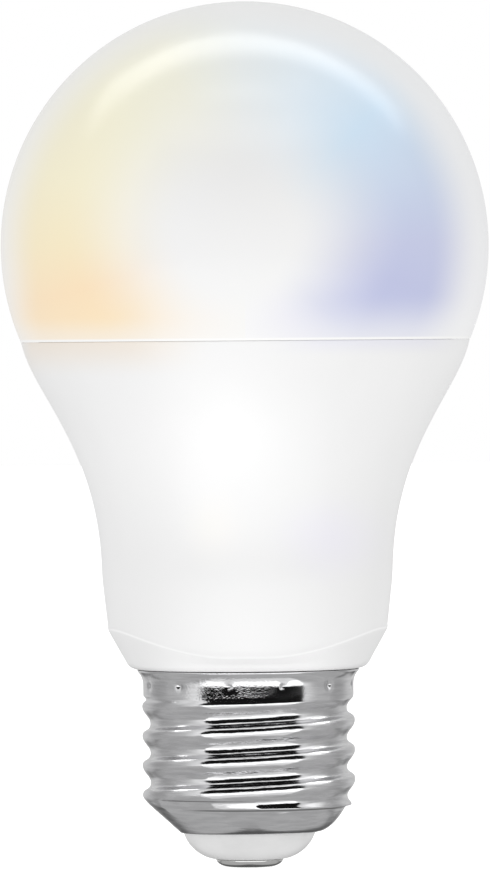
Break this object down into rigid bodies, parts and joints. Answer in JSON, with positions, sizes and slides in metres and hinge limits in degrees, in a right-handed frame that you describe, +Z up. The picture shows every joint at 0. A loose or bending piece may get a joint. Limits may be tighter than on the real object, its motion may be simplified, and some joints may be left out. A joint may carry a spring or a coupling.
{
  "type": "smart light bulb",
  "caption": "Screw-cap smart light bulb: an opal globe diffuser on a tapered white housing, with LED board, heat sink, driver and radio boards inside and a threaded metal shell.",
  "frame": {"origin": "centre of the flat of the centre contact, at the lower end of the bulb's axis", "axes": "+Z up the bulb's axis towards the diffuser, -Y towards the front, +X to the right; -Z is the way the centre contact faces"},
  "size_m": [0.06, 0.06, 0.1064],
  "materials": {
    "opal_plastic": "opal satin polycarbonate",
    "white_plastic": "smooth white moulded plastic, semi-gloss",
    "insulator_plastic": "smooth white insulator",
    "silicone": "cured translucent white silicone",
    "plated_shell": "rolled sheet, bright nickel plated",
    "contact_metal": "tinned stud, satin",
    "sink_aluminium": "drawn sheet, satin",
    "screw_steel": "zinc plated",
    "thermal_pad": "soft grey gap pad",
    "led_board": "white solder mask on aluminium",
    "driver_board": "green solder mask on glass-epoxy",
    "radio_board": "blue solder mask on glass-epoxy",
    "shield_can": "tinned steel can",
    "warm_led": "orange phosphor in a white package",
    "cool_led": "yellow phosphor in a white package",
    "black_moulding": "black epoxy moulding",
    "nylon": "natural nylon",
    "can_sleeve": "dark shrink sleeve",
    "film_case": "yellow moulded case",
    "varistor_resin": "dipped blue resin",
    "resistor_body": "dipped green resin",
    "ferrite": "sintered dark grey",
    "copper_wire": "enamelled copper winding",
    "red_sleeve": "silicone wire sleeve",
    "black_sleeve": "silicone wire sleeve"
  },
  "bodies": {
    "root": {"diffuser": "opal_plastic", "diffuser_seal": "silicone", "housing": "white_plastic", "heat_sink": "sink_aluminium", "thermal_pad": "thermal_pad", "led_board": "led_board", "led_socket": "nylon", "driver_board": "driver_board", "driver_header": "black_moulding", "transformer_core": "ferrite", "transformer_bobbin": "black_moulding", "transformer_winding": "copper_wire", "choke_core": "ferrite", "choke_winding": "copper_wire", "film_capacitor": "film_case", "bulk_capacitor": "can_sleeve", "output_capacitor": "can_sleeve", "varistor": "varistor_resin", "fuse_resistor": "resistor_body", "bridge_rectifier": "black_moulding", "driver_chip": "black_moulding", "warm_switch": "black_moulding", "cool_switch": "black_moulding", "output_diode": "black_moulding", "radio_board": "radio_board", "radio_shield": "shield_can", "antenna_trace": "copper_wire", "radio_header": "black_moulding", "live_wire": "red_sleeve", "neutral_wire": "black_sleeve", "screw_shell": "plated_shell", "base_insulator": "insulator_plastic", "centre_contact": "contact_metal", "warm_led_1": "warm_led", "cool_led_1": "cool_led", "warm_led_2": "warm_led", "cool_led_2": "cool_led", "warm_led_3": "warm_led", "cool_led_3": "cool_led", "warm_led_4": "warm_led", "cool_led_4": "cool_led", "warm_led_5": "warm_led", "cool_led_5": "cool_led", "warm_led_6": "warm_led", "cool_led_6": "cool_led", "warm_led_7": "warm_led", "cool_led_7": "cool_led", "warm_led_8": "warm_led", "cool_led_8": "cool_led", "board_screw_1": "screw_steel", "board_screw_2": "screw_steel", "board_screw_3": "screw_steel"}
  },
  "joints": []
}
